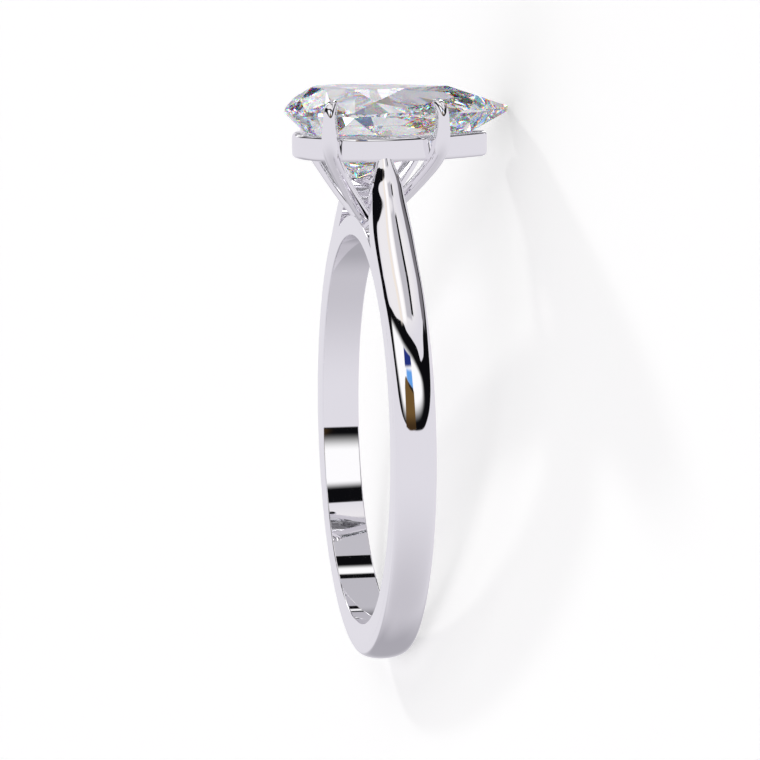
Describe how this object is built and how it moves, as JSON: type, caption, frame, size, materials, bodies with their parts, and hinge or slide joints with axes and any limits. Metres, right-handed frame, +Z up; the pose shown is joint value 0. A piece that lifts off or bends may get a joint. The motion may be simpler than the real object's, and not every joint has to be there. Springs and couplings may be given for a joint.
{
  "type": "pear solitaire ring",
  "caption": "Finger ring with a pear-cut clear stone held by claws on a gallery rail, cathedral shoulders and a polished white metal band, lying on its side.",
  "frame": {"origin": "middle of the box's underside, on the surface that the ring lies on", "axes": "+Y from the foot of the band towards the head, +Z up from the surface, +X across the ring"},
  "size_m": [0.0194, 0.0244, 0.0093],
  "materials": {
    "white_gold": "mirror polished",
    "clear_stone": "clear, cut in flat polished facets"
  },
  "bodies": {
    "root": {"ring_setting": "white_gold", "pear_stone": "clear_stone"}
  },
  "joints": []
}
